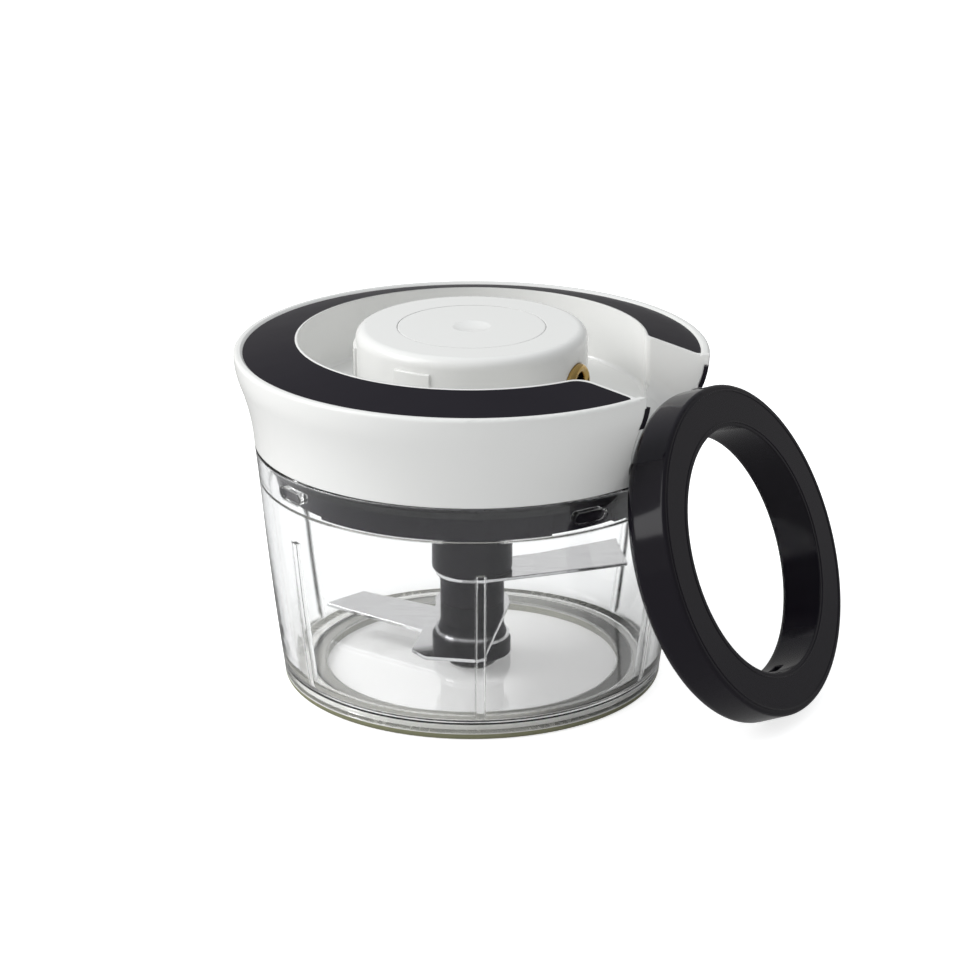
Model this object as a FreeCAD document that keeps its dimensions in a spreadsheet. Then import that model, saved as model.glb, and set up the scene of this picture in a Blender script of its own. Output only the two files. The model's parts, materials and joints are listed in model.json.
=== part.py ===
import FreeCAD, Part
import math
import operator
import os
import Sketcher
from types import SimpleNamespace

# Pull-string food chopper, in millimetres.
# The origin is the middle of the face that the bowl stands on, +Z is up, and
# the cord leaves the lid along a horizontal line turned by mouth_turn from +X.

DRIVING_SIZES = {
    # Base ring under the bowl
    "base_ring_width": 13.9,
    "base_ring_height": 2.6,
    "base_ring_corner": 2.0,
    "tongue_inset": 8.9,
    "tongue_width": 3.0,
    "tongue_height": 1.6,
    "tongue_clearance": 0.1,
    # Bowl
    "bowl_foot_r": 64.4,
    "bowl_belly_z": 36.5,
    "bowl_bulge": 0.42,
    "bowl_neck_z": 70.8,
    "bowl_neck_inset": 1.3,
    "bowl_rim_r": 73.0,
    "bowl_rim_z": 83.4,
    "bowl_wall": 3.2,
    "collar_wall": 2.6,
    "bowl_step": 0.7,
    "bowl_rim_round": 0.9,
    "floor_top": 5.6,
    "floor_under": 3.4,
    "floor_corner": 5.0,
    "boss_r": 8.0,
    "boss_rise": 0.6,
    "boss_drop": 2.6,
    "rib_count": 6,
    "rib_turn": -87.3,
    "rib_width": 2.8,
    "rib_proud": 1.5,
    "rib_low_z": 7.0,
    "rib_top_z": 59.0,
    "lug_count": 4,
    "lug_turn": -56.7,
    "lug_length": 12.0,
    "lug_height": 4.0,
    "lug_z": 76.0,
    "lug_proud": 2.7,
    # Centre pin
    "pin_r": 3.5,
    "pin_low_z": 1.6,
    "pin_top_z": 44.0,
    "pin_nose": 0.9,
    "pin_running_gap": 0.05,
    # Blade column
    "foot_r": 13.2,
    "foot_neck_r": 12.0,
    "foot_gap": 0.1,
    "waist_r": 10.9,
    "waist_flare": 0.9,
    "flare_height": 3.0,
    "tube_r": 7.0,
    "tube_top_z": 46.0,
    "hub_r": 13.7,
    "hub_round": 1.5,
    "hub_top_z": 82.6,
    "blade_thick": 1.2,
    "blade_root_r": 12.6,
    "lower_blade_z": 12.0,
    "middle_blade_z": 24.0,
    "upper_blade_z": 35.5,
    # Blades: cutting side, back side and reach, seen from above
    "lower_blade_turn": -215.5,
    "lower_cut_side": 9.6,
    "lower_back_root": 10.6,
    "lower_back_tip": 7.4,
    "lower_cut_gap": 4.2,
    "lower_back_gap": 7.7,
    "middle_blade_turn": -100.0,
    "middle_cut_side": 11.2,
    "middle_back_side": 13.3,
    "middle_gap": 7.6,
    "middle_cut_corner": 5.5,
    "middle_back_corner": 2.8,
    "upper_blade_turn": 18.5,
    "upper_cut_side": 12.9,
    "upper_back_root": 6.2,
    "upper_back_tip": 11.0,
    "upper_cut_gap": 9.2,
    "upper_back_gap": 4.0,
    "blade_waist_reach": 26.0,
    # Lid shell
    "mouth_turn": -26.5,
    "lid_low_z": 83.8,
    "lid_over_rim": 0.05,
    "lid_flare_z": 94.2,
    "lid_flare": 1.4,
    "lid_shoulder_z": 104.9,
    "lid_shoulder": 4.45,
    "lid_brow_z": 109.5,
    "lid_brow": 5.8,
    "lid_edge_z": 113.6,
    "lid_edge": 6.25,
    "lip_top_z": 115.2,
    "lip_width": 2.2,
    "lip_round": 1.2,
    "lid_wall": 2.4,
    "dome_inset": 3.05,
    "dome_out_z": 114.5,
    "inlay_width": 17.4,
    "dome_in_z": 118.45,
    "inlay_thick": 1.4,
    "inlay_margin": 1.45,
    "inlay_corner": 1.5,
    "groove_lip": 0.85,
    "groove_width": 19.3,
    "groove_z": 98.0,
    "groove_round": 1.2,
    "turret_wall": 2.5,
    "turret_height": 23.9,
    "turret_round": 3.5,
    "roof_thick": 2.4,
    "shoulder_width": 1.8,
    "cap_inset": 14.0,
    "cap_thick": 1.5,
    "cap_gap": 0.15,
    "cap_dimple_r": 30.0,
    "cap_dimple_depth": 0.7,
    "axle_boss_r": 6.0,
    "axle_boss_height": 5.0,
    # Mouth of the lid, where the cord leaves
    "mouth_half": 25.4,
    "mouth_sill_z": 86.0,
    "mouth_sill": 1.95,
    "mouth_corner": 5.0,
    "mouth_wall": 2.4,
    "mouth_start_gap": 2.3,
    "mouth_near_round": 9.5,
    "mouth_far_round": 3.5,
    "trim_width": 2.4,
    "trim_sunk": 0.6,
    "trim_thick": 1.45,
    "trim_low_z": 104.0,
    "trim_top_z": 111.5,
    # Eyelet
    "eyelet_r": 7.5,
    "eyelet_hole_r": 4.5,
    "eyelet_barrel_r": 5.5,
    "eyelet_sunk": 0.7,
    "eyelet_proud": 2.6,
    # Lid base with its skirt
    "base_plate_z": 83.7,
    "base_plate_thick": 2.3,
    "base_plate_gap": 0.35,
    "skirt_low_z": 70.6,
    "skirt_low_gap": 2.9,
    "skirt_top_gap": 1.8,
    "skirt_wall": 3.0,
    "recess_span": 21.0,
    "recess_depth": 1.5,
    "recess_top_z": 79.0,
    "seal_z": 80.0,
    "seal_height": 2.0,
    "seal_depth": 1.0,
    "seal_bowl_gap": 0.3,
    # Winding mechanism
    "axle_r": 3.0,
    "axle_low_z": 79.0,
    "axle_roof_gap": 0.6,
    "axle_running_gap": 0.06,
    "spring_room": 5.4,
    "cover_thick": 1.0,
    "cover_gap": 0.1,
    "arbor_r": 8.0,
    "arbor_roof_gap": 1.0,
    "arbor_bore_r": 6.4,
    "arbor_boss_gap": 0.3,
    "spring_turns": 11,
    "spring_strip": 0.45,
    "spring_height": 4.4,
    "spring_gap": 0.3,
    "drum_r": 18.0,
    "flange_gap": 3.2,
    "flange_cover_gap": 0.3,
    "flange_thick": 1.3,
    "drum_height": 6.8,
    "thrust_gap": 0.1,
    "cord_hole_r": 1.3,
    "pawl_post_r": 2.0,
    "pawl_post_inset": 4.2,
    "pawl_running_gap": 0.06,
    "pawl_eye_r": 3.4,
    "pawl_top_gap": 1.5,
    "pawl_gap": 0.4,
    "pawl_bite": 0.7,
    "pawl_tip_turn": 33.0,
    "pawl_tip_span": 4.0,
    "pawl_tip_depth": 4.0,
    "ratchet_teeth": 12,
    "ratchet_depth": 2.2,
    "ratchet_turn": 38.0,
    "cup_inset": 3.0,
    "cup_wall": 3.6,
    "cup_floor": 1.7,
    "cup_top_gap": 0.5,
    "coupler_r": 11.0,
    "coupler_low_z": 83.4,
    "spigot_r": 7.4,
    "spigot_low_z": 72.5,
    "socket_gap": 0.3,
    "socket_depth": 11.4,
    "bush_r": 12.6,
    "bush_flange_r": 14.4,
    "bush_flange": 0.8,
    "bush_running_gap": 0.05,
    "bearing_r": 15.2,
    "bearing_low_z": 84.0,
    "plate_z": 88.6,
    "plate_thick": 2.4,
    "plate_post_gap": 3.1,
    # Screws
    "screw_r": 1.4,
    "screw_head_r": 3.0,
    "screw_head": 1.7,
    "screw_free": 0.3,
    "post_r": 3.6,
    "plate_screw_count": 3,
    "plate_screw_inset": 4.5,
    "plate_screw_turn": 34.0,
    "base_screw_count": 4,
    "base_screw_inset": 7.0,
    "base_screw_turn": 45.0,
    "screw_bite": 5.4,
    # Ring handle, leaning on the lid
    "handle_turn": -29.1,
    "handle_lean": 22.1,
    "handle_azimuth": -21.0,
    "handle_rim_gap": 0.38,
    "handle_lift": 0.2,
    "handle_nest_gap": 0.5,
    "handle_thick": 15.2,
    "handle_back_r": 56.0,
    "handle_front_r": 55.6,
    "hole_front_r": 41.4,
    "hole_back_r": 40.8,
    "handle_round": 3.8,
    "handle_front_round": 1.1,
    "hole_round": 2.0,
    "outer_lip": 2.0,
    "inner_lip": 1.35,
    "handle_cover_thick": 2.2,
    "handle_cover_gap": 0.15,
    "cover_ledge": 2.2,
    "handle_wall": 2.6,
    "cord_slot_width": 6.0,
    "cord_slot_height": 3.0,
}

doc = FreeCAD.newDocument("chopper")
sheet = doc.addObject("Spreadsheet::Sheet", "Sizes")
parts = []
SAME_PLACE = 0.01


class Size:
    """A number, with the sheet formula that gives it."""

    def __init__(self, number, formula):
        self.number = number
        self.formula = formula

    def __add__(self, other):
        return combined(self, other, operator.add, "+")

    def __radd__(self, other):
        return combined(other, self, operator.add, "+")

    def __sub__(self, other):
        return combined(self, other, operator.sub, "-")

    def __rsub__(self, other):
        return combined(other, self, operator.sub, "-")

    def __mul__(self, other):
        return combined(self, other, operator.mul, "*")

    def __rmul__(self, other):
        return combined(other, self, operator.mul, "*")

    def __truediv__(self, other):
        return combined(self, other, operator.truediv, "/")

    def __rtruediv__(self, other):
        return combined(other, self, operator.truediv, "/")

    def __neg__(self):
        return Size(-self.number, f"(-1 * {self.formula})")


def as_size(value):
    if isinstance(value, Size):
        return value
    return Size(float(value), f"({float(value)})")


def combined(first, second, action, sign):
    first = as_size(first)
    second = as_size(second)
    return Size(action(first.number, second.number), f"({first.formula} {sign} {second.formula})")


def cosine(angle):
    angle = as_size(angle)
    return Size(math.cos(math.radians(angle.number)), f"cos({angle.formula})")


def sine(angle):
    angle = as_size(angle)
    return Size(math.sin(math.radians(angle.number)), f"sin({angle.formula})")


def root(value):
    return Size(math.sqrt(value.number), f"sqrt({value.formula})")


def polar(radius, angle):
    return radius * cosine(angle), radius * sine(angle)


def fill_sheet():
    for row, (name, value) in enumerate(DRIVING_SIZES.items(), start=1):
        sheet.set(f"A{row}", name)
        sheet.set(f"B{row}", str(value))
        sheet.setAlias(f"B{row}", name)
    doc.recompute()
    return SimpleNamespace(**{name: Size(float(sheet.get(name)), f"Sizes.{name}") for name in DRIVING_SIZES})


def bind(thing, field, value):
    thing.setExpression(field, as_size(value).formula)


def place(thing, x=0, y=0, z=0, turn=0, tilt=0):
    x, y, z, turn, tilt = (as_size(value).formula for value in (x, y, z, turn, tilt))
    thing.setExpression("Placement", f"placement(vector({x}; {y}; {z}); rotation({turn}; {tilt}; 0))")
    return thing


def cylinder(name, radius, low, high, x=0, y=0):
    shape = doc.addObject("Part::Cylinder", name)
    bind(shape, "Radius", radius)
    bind(shape, "Height", as_size(high) - low)
    return place(shape, x, y, low)


def hexagon(name, corner_radius, low, high):
    shape = doc.addObject("Part::Prism", name)
    shape.Polygon = 6
    bind(shape, "Circumradius", corner_radius)
    bind(shape, "Height", as_size(high) - low)
    return place(shape, 0, 0, low)


def block(name, near, far, half_width, low, high, turn=0):
    """A box from near to far along a line turned about the axis, as wide on both sides of it."""
    shape = doc.addObject("Part::Box", name)
    bind(shape, "Length", as_size(far) - near)
    bind(shape, "Width", 2 * as_size(half_width))
    bind(shape, "Height", as_size(high) - low)
    x = as_size(near) * cosine(turn) + as_size(half_width) * sine(turn)
    y = as_size(near) * sine(turn) - as_size(half_width) * cosine(turn)
    return place(shape, x, y, low, turn)


def joined(name, *shapes):
    fusion = doc.addObject("Part::MultiFuse", name)
    fusion.Shapes = list(shapes)
    return fusion


def shared(name, *shapes):
    common = doc.addObject("Part::MultiCommon", name)
    common.Shapes = list(shapes)
    return common


def less(name, base, *tools):
    cut = doc.addObject("Part::Cut", name)
    cut.Base = base
    cut.Tool = tools[0] if len(tools) == 1 else joined(name + "_tools", *tools)
    return cut


def group(name, *shapes):
    compound = doc.addObject("Part::Compound", name)
    compound.Links = list(shapes)
    return compound


def bind_point(sketch, geometry, position, x, y):
    for direction, value in (("DistanceX", as_size(x)), ("DistanceY", as_size(y))):
        constraint = Sketcher.Constraint(direction, -1, 1, geometry, position, value.number)
        index = sketch.addConstraint(constraint)
        sketch.setExpression(f"Constraints[{index}]", value.formula)


def vector(x, y):
    return FreeCAD.Vector(as_size(x).number, as_size(y).number, 0)


def draw(sketch, points):
    """A closed outline. A point is (x, y), or (x, y, mid_x, mid_y) where an arc arrives through a middle."""
    ends = []
    for index, point in enumerate(points):
        start = vector(*points[index - 1][:2])
        end = vector(*point[:2])
        if len(point) == 2:
            edge = sketch.addGeometry(Part.LineSegment(start, end))
            ends.append((edge, 1, 2))
            continue
        middle = vector(*point[2:])
        leftward = (middle - start).cross(end - start).z > 0
        arc = Part.Arc(start, middle, end) if leftward else Part.Arc(end, middle, start)
        edge = sketch.addGeometry(arc)
        ends.append((edge, 1, 2) if leftward else (edge, 2, 1))
    for index, point in enumerate(points):
        edge, _, last = ends[index]
        following, first, _ = ends[(index + 1) % len(points)]
        sketch.addConstraint(Sketcher.Constraint("Coincident", edge, last, following, first))
        bind_point(sketch, edge, last, *point[:2])
        if len(point) == 4:
            middle = sketch.addGeometry(Part.Point(vector(*point[2:])), True)
            bind_point(sketch, middle, 1, *point[2:])
            sketch.addConstraint(Sketcher.Constraint("PointOnObject", middle, 1, edge))


def sketched_body(name, plane, points, offset=0):
    body = doc.addObject("PartDesign::Body", name)
    sketch = body.newObject("Sketcher::SketchObject", name + "_outline")
    sketch.AttachmentSupport = [(next(f for f in body.Origin.OriginFeatures if f.Role == plane), "")]
    sketch.MapMode = "FlatFace"
    bind(sketch, "AttachmentOffset.Base.z", offset)
    draw(sketch, points)
    return body, sketch


def revolved(name, points, axis="V_Axis", span=360):
    """A body turned about +Z from (radius, z) points, or about +X from (x, radius) points."""
    body, sketch = sketched_body(name, "XZ_Plane", points)
    feature = body.newObject("PartDesign::Revolution", name + "_turned")
    feature.Profile = sketch
    feature.ReferenceAxis = (sketch, [axis])
    bind(feature, "Angle", span)
    return body


def padded(name, points, length, plane="XY_Plane", offset=0):
    body, sketch = sketched_body(name, plane, points, offset)
    feature = body.newObject("PartDesign::Pad", name + "_pad")
    feature.Profile = sketch
    bind(feature, "Length", length)
    return body


def soften(body, radius, *circles):
    """Rounds the circular edges of a turned body that lie at (radius, height along the axis)."""
    doc.recompute()
    feature = body.Tip
    wanted = [(as_size(size).number, as_size(along).number) for size, along in circles]
    names = []
    for index, edge in enumerate(feature.Shape.Edges, start=1):
        curve = edge.Curve
        if not isinstance(curve, Part.Circle):
            continue
        along = curve.Center.dot(curve.Axis) * (curve.Axis.x + curve.Axis.y + curve.Axis.z)
        for size, where in wanted:
            if abs(curve.Radius - size) < SAME_PLACE and abs(along - where) < SAME_PLACE:
                names.append(f"Edge{index}")
    fillet = body.newObject("PartDesign::Fillet", body.Name + "_round")
    fillet.Base = (feature, names)
    bind(fillet, "Radius", radius)
    body.Tip = fillet
    return body


def keep(label, thing):
    thing.Label = label
    parts.append(thing)
    return thing


s = fill_sheet()

# Heights and radii that follow from the driving sizes
BASE_TOP = s.base_ring_height
BASE_RING_IN_R = s.bowl_foot_r - s.base_ring_width
TONGUE_IN_R = s.bowl_foot_r - s.tongue_inset
TONGUE_OUT_R = TONGUE_IN_R + s.tongue_width
NECK_R = s.bowl_rim_r - s.bowl_neck_inset
BELLY_SHARE = (s.bowl_belly_z - BASE_TOP) / (s.bowl_neck_z - BASE_TOP)
BELLY_R = s.bowl_foot_r + (NECK_R - s.bowl_foot_r) * BELLY_SHARE + s.bowl_bulge
INNER_FOOT_R = s.bowl_foot_r - s.bowl_wall
INNER_BELLY_R = BELLY_R - s.bowl_wall
INNER_NECK_R = NECK_R - s.bowl_wall
COLLAR_NECK_R = NECK_R - s.collar_wall
COLLAR_RIM_R = s.bowl_rim_r - s.collar_wall
LUG_REACH_R = COLLAR_NECK_R - s.lug_proud
BOSS_TOP = s.floor_top + s.boss_rise
FOOT_Z = BOSS_TOP + s.foot_gap
PIN_BORE_R = s.pin_r + s.pin_running_gap

LID_LOW_R = s.bowl_rim_r + s.lid_over_rim
LID_FLARE_R = LID_LOW_R + s.lid_flare
LID_SHOULDER_R = LID_LOW_R + s.lid_shoulder
LID_BROW_R = LID_LOW_R + s.lid_brow
LID_EDGE_R = LID_LOW_R + s.lid_edge
DOME_OUT_R = LID_EDGE_R - s.dome_inset
DOME_IN_R = DOME_OUT_R - s.inlay_width
DOME_SLOPE = (s.dome_in_z - s.dome_out_z) / (DOME_IN_R - DOME_OUT_R)
GROOVE_R = DOME_IN_R - s.groove_lip
GROOVE_BACK_R = GROOVE_R + s.lid_wall
GROOVE_UNDER = s.groove_z - s.turret_wall
TURRET_R = GROOVE_R - s.groove_width
TURRET_IN_R = TURRET_R - s.turret_wall
TURRET_TOP = s.groove_z + s.turret_height
CAP_R = TURRET_R - s.cap_inset
CAP_FLOOR = TURRET_TOP - s.cap_thick
ROOF_UNDER = CAP_FLOOR - s.roof_thick
MOUTH_SILL_R = LID_LOW_R + s.mouth_sill
MOUTH_SLOPE = (s.groove_z - s.mouth_sill_z) / (MOUTH_SILL_R - GROOVE_R)
MOUTH_START = TURRET_R + s.mouth_start_gap
INLAY_HALF = s.mouth_half + s.inlay_margin
EYELET_SEAT = TURRET_R - s.eyelet_sunk

BASE_PLATE_TOP = s.base_plate_z + s.base_plate_thick
BASE_PLATE_R = LID_LOW_R - s.lid_wall - s.base_plate_gap
SKIRT_LOW_R = COLLAR_NECK_R - s.skirt_low_gap
SKIRT_TOP_R = COLLAR_NECK_R - s.skirt_top_gap
SKIRT_IN_R = SKIRT_LOW_R - s.skirt_wall
BASE_SCREW_R = SKIRT_IN_R - s.base_screw_inset
PLATE_TOP = s.plate_z + s.plate_thick
PLATE_R = BASE_SCREW_R - s.post_r - s.plate_post_gap
PLATE_SCREW_R = PLATE_R - s.plate_screw_inset

# The winding mechanism hangs from the turret's roof, and its cup stands on the plate
AXLE_BORE_R = s.axle_r + s.axle_running_gap
AXLE_BOSS_Z = ROOF_UNDER - s.axle_boss_height
AXLE_TOP = ROOF_UNDER - s.axle_roof_gap
ARBOR_TOP = ROOF_UNDER - s.arbor_roof_gap
ARBOR_BORE_Z = AXLE_BOSS_Z - s.arbor_boss_gap
SHOULDER_Z = ROOF_UNDER - s.spring_room
COVER_Z = SHOULDER_Z - s.cover_thick
FLANGE_R = TURRET_IN_R - s.flange_gap
FLANGE_TOP = COVER_Z - s.flange_cover_gap
DRUM_TOP = FLANGE_TOP - s.flange_thick
DRUM_LOW = DRUM_TOP - s.drum_height
FLANGE_LOW = DRUM_LOW - s.flange_thick
EYELET_Z = (DRUM_LOW + DRUM_TOP) / 2
CUP_Z = PLATE_TOP + s.bush_flange + s.thrust_gap
CUP_FLOOR_TOP = CUP_Z + s.cup_floor
CUP_TOP = FLANGE_LOW - s.cup_top_gap
CUP_R = FLANGE_R - s.cup_inset
SPOOL_LOW = CUP_FLOOR_TOP + s.thrust_gap
RATCHET_OUT_R = CUP_R - s.cup_wall
RATCHET_IN_R = RATCHET_OUT_R - s.ratchet_depth
PAWL_TIP_R = RATCHET_IN_R + s.pawl_bite
PAWL_POST_AT = RATCHET_IN_R - s.pawl_post_inset
PAWL_LOW = CUP_FLOOR_TOP + s.pawl_gap
PAWL_THICK = FLANGE_LOW - s.pawl_top_gap - PAWL_LOW

# The lowest edge of the leaning ring is just above the surface that the bowl stands on, and its back
# just clears the bowl's rim
LIP_OUT_R = s.handle_front_r - s.outer_lip
LIP_IN_R = s.hole_front_r + s.inner_lip
HANDLE_HALF = s.handle_thick / 2
HANDLE_Z = (s.handle_lift + s.handle_round + (HANDLE_HALF - s.handle_round) * sine(s.handle_lean)
            + (s.handle_back_r - s.handle_round) * cosine(s.handle_lean))
HANDLE_REACH = (s.bowl_rim_r + s.handle_rim_gap
                + ((s.bowl_rim_z - HANDLE_Z) * sine(s.handle_lean) + HANDLE_HALF) / cosine(s.handle_lean))

EVEN_SPAN = 360.0
# The middle of a quarter arc, from each side of its corner, as a share of its radius
ARC_DEPTH = 1 - math.sqrt(0.5)
PAWL_NAMES = ("a", "b")


def make_base_ring():
    corner_r = s.bowl_foot_r - s.base_ring_corner
    middle = s.base_ring_corner * ARC_DEPTH
    ring = revolved("base_ring", [
        (BASE_RING_IN_R, 0),
        (corner_r, 0),
        (s.bowl_foot_r, s.base_ring_corner, s.bowl_foot_r - middle, middle),
        (s.bowl_foot_r, BASE_TOP),
        (TONGUE_OUT_R, BASE_TOP),
        (TONGUE_OUT_R, BASE_TOP + s.tongue_height),
        (TONGUE_IN_R, BASE_TOP + s.tongue_height),
        (TONGUE_IN_R, BASE_TOP),
        (BASE_RING_IN_R, BASE_TOP),
    ])
    keep("base_ring", ring)


def make_bowl():
    groove_top = BASE_TOP + s.tongue_height + s.tongue_clearance
    groove_in = TONGUE_IN_R - s.tongue_clearance
    groove_out = TONGUE_OUT_R + s.tongue_clearance
    wall = revolved("bowl_wall_and_floor", [
        (0, s.floor_under - s.boss_drop),
        (s.boss_r, s.floor_under - s.boss_drop),
        (s.boss_r, s.floor_under),
        (BASE_RING_IN_R, s.floor_under),
        (BASE_RING_IN_R, BASE_TOP),
        (groove_in, BASE_TOP),
        (groove_in, groove_top),
        (groove_out, groove_top),
        (groove_out, BASE_TOP),
        (s.bowl_foot_r, BASE_TOP),
        (NECK_R, s.bowl_neck_z, BELLY_R, s.bowl_belly_z),
        (s.bowl_rim_r, s.bowl_rim_z),
        (COLLAR_RIM_R, s.bowl_rim_z),
        (COLLAR_NECK_R, s.bowl_neck_z + s.bowl_step),
        (INNER_NECK_R, s.bowl_neck_z),
        (INNER_FOOT_R, s.floor_top, INNER_BELLY_R, s.bowl_belly_z),
        (s.boss_r, s.floor_top),
        (s.boss_r, BOSS_TOP),
        (0, BOSS_TOP),
    ])
    soften(wall, s.floor_corner, (INNER_FOOT_R, s.floor_top))
    soften(wall, s.bowl_rim_round, (s.bowl_rim_r, s.bowl_rim_z), (COLLAR_RIM_R, s.bowl_rim_z))
    band = revolved("rib_band", [
        (INNER_FOOT_R + s.rib_proud, s.floor_top),
        (INNER_NECK_R + s.rib_proud, s.bowl_neck_z, INNER_BELLY_R + s.rib_proud, s.bowl_belly_z),
        (INNER_NECK_R - s.rib_proud, s.bowl_neck_z),
        (INNER_FOOT_R - s.rib_proud, s.floor_top, INNER_BELLY_R - s.rib_proud, s.bowl_belly_z),
    ])
    ribs = []
    for number in range(int(s.rib_count.number)):
        turn = s.rib_turn + number * EVEN_SPAN / s.rib_count
        ribs.append(block(f"rib_{number}", BASE_RING_IN_R, s.bowl_rim_r, s.rib_width / 2,
                          s.rib_low_z, s.rib_top_z, turn))
    rib_set = shared("ribs", band, joined("rib_blocks", *ribs))
    lugs = []
    half = (s.lug_length - s.lug_height) / 2
    low = s.lug_z - s.lug_height / 2
    high = s.lug_z + s.lug_height / 2
    for number in range(int(s.lug_count.number)):
        lug = padded(f"lug_{number}", [
            (half, low),
            (half, high, half + s.lug_height / 2, s.lug_z),
            (-half, high),
            (-half, low, -half - s.lug_height / 2, s.lug_z),
        ], COLLAR_NECK_R + s.collar_wall / 2 - LUG_REACH_R, "YZ_Plane", LUG_REACH_R)
        lugs.append(place(lug, turn=s.lug_turn + number * EVEN_SPAN / s.lug_count))
    whole = joined("bowl_whole", wall, rib_set, *lugs)
    socket = cylinder("pin_socket", s.pin_r, s.pin_low_z, BOSS_TOP + s.boss_rise)
    keep("bowl", less("bowl", whole, socket))


def make_centre_pin():
    pin = revolved("centre_pin", [
        (0, s.pin_low_z),
        (s.pin_r, s.pin_low_z),
        (s.pin_r, s.pin_top_z - s.pin_nose),
        (s.pin_r - s.pin_nose, s.pin_top_z),
        (0, s.pin_top_z),
    ])
    keep("centre_pin", pin)


def make_column():
    lower_top = s.lower_blade_z + s.blade_thick
    middle_top = s.middle_blade_z + s.blade_thick
    upper_top = s.upper_blade_z + s.blade_thick
    foot = revolved("column_foot", [
        (PIN_BORE_R, FOOT_Z),
        (s.foot_r, FOOT_Z),
        (s.foot_r, s.lower_blade_z - s.foot_r + s.foot_neck_r),
        (s.foot_neck_r, s.lower_blade_z),
        (s.tube_r, s.lower_blade_z),
        (s.tube_r, s.tube_top_z),
        (PIN_BORE_R, s.tube_top_z),
    ])
    keep("column_foot", foot)
    lower = revolved("lower_spacer", [
        (s.tube_r, lower_top),
        (s.waist_r + s.waist_flare, lower_top),
        (s.waist_r, lower_top + s.flare_height),
        (s.waist_r, s.middle_blade_z),
        (s.tube_r, s.middle_blade_z),
    ])
    keep("lower_spacer", lower)
    upper = revolved("upper_spacer", [
        (s.tube_r, middle_top),
        (s.waist_r, middle_top),
        (s.waist_r, s.upper_blade_z - s.flare_height),
        (s.waist_r + s.waist_flare, s.upper_blade_z),
        (s.tube_r, s.upper_blade_z),
    ])
    keep("upper_spacer", upper)
    hub = revolved("hub_body", [
        (0, s.tube_top_z),
        (s.tube_r, s.tube_top_z),
        (s.tube_r, upper_top),
        (s.hub_r, upper_top),
        (s.hub_r, s.hub_top_z),
        (0, s.hub_top_z),
    ])
    soften(hub, s.hub_round, (s.hub_r, upper_top), (s.hub_r, s.hub_top_z))
    socket = hexagon("hub_socket", s.spigot_r + s.socket_gap, s.hub_top_z - s.socket_depth,
                     s.hub_top_z + s.socket_gap)
    keep("blade_hub", less("blade_hub", hub, socket))


def make_blade(name, outline, low, turn):
    arm = place(padded(name + "_arm", outline, s.blade_thick), z=low, turn=turn)
    middle = cylinder(name + "_root", s.blade_root_r, low, low + s.blade_thick)
    hole = cylinder(name + "_hole", s.tube_r, low - s.blade_thick, low + 2 * s.blade_thick)
    keep(name, less(name, joined(name + "_plate", arm, middle), hole))


def make_blades():
    make_blade("lower_blade", [
        (0, -s.lower_back_root),
        (s.blade_waist_reach, -s.lower_back_root),
        (INNER_FOOT_R - s.lower_back_gap, -s.lower_back_tip),
        (INNER_FOOT_R - s.lower_cut_gap, s.lower_cut_side),
        (0, s.lower_cut_side),
    ], s.lower_blade_z, s.lower_blade_turn)
    middle_reach = INNER_FOOT_R - s.middle_gap
    make_blade("middle_blade", [
        (0, -s.middle_cut_side),
        (middle_reach - s.middle_cut_corner, -s.middle_cut_side),
        (middle_reach, s.middle_cut_corner - s.middle_cut_side),
        (middle_reach, s.middle_back_side - s.middle_back_corner),
        (middle_reach - s.middle_back_corner, s.middle_back_side),
        (0, s.middle_back_side),
    ], s.middle_blade_z, s.middle_blade_turn)
    make_blade("upper_blade", [
        (0, -s.upper_cut_side),
        (INNER_FOOT_R - s.upper_cut_gap, -s.upper_cut_side),
        (INNER_FOOT_R - s.upper_back_gap, s.upper_back_tip),
        (s.blade_waist_reach, s.upper_back_root),
        (0, s.upper_back_root),
    ], s.upper_blade_z, s.upper_blade_turn)


def outer_wall(inset=0):
    """The lid's outer wall, from its lower edge up to the edge of the lip."""
    return [
        (LID_LOW_R - inset, s.lid_low_z),
        (LID_SHOULDER_R - inset, s.lid_shoulder_z, LID_FLARE_R - inset, s.lid_flare_z),
        (LID_EDGE_R - inset, s.lid_edge_z, LID_BROW_R - inset, s.lid_brow_z),
    ]


def rim_top():
    """The lid's top from the lip's edge in to the groove."""
    return [
        (LID_EDGE_R, s.lip_top_z),
        (LID_EDGE_R - s.lip_width, s.lip_top_z),
        (DOME_OUT_R, s.dome_out_z),
        (GROOVE_R, s.dome_out_z + DOME_SLOPE * (GROOVE_R - DOME_OUT_R)),
    ]


def mouth_prism(name, growth):
    """The slanted channel of the mouth, made larger on its sides and floor by growth."""
    half = s.mouth_half + growth
    corner = s.mouth_corner + growth
    diagonal = corner * ARC_DEPTH
    reach = LID_EDGE_R
    channel = padded(name, [
        (half, reach),
        (-half, reach),
        (-half, corner - growth),
        (-half + corner, -as_size(growth), -half + diagonal, diagonal - growth),
        (half - corner, -as_size(growth)),
        (half, corner - growth, half - diagonal, diagonal - growth),
    ], reach, "YZ_Plane")
    return lay_on_mouth_floor(channel)


def lay_on_mouth_floor(thing):
    """Turns and leans a piece drawn along +X, so that its underside lies on the mouth's slanted floor."""
    lean = Size(math.degrees(math.atan(MOUTH_SLOPE.number)), f"atan({MOUTH_SLOPE.formula}) / 1deg")
    start_z = s.groove_z + MOUTH_SLOPE * (GROOVE_R - MOUTH_START)
    x, y = polar(MOUTH_START, s.mouth_turn)
    return place(thing, x, y, start_z, s.mouth_turn, lean)


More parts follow.
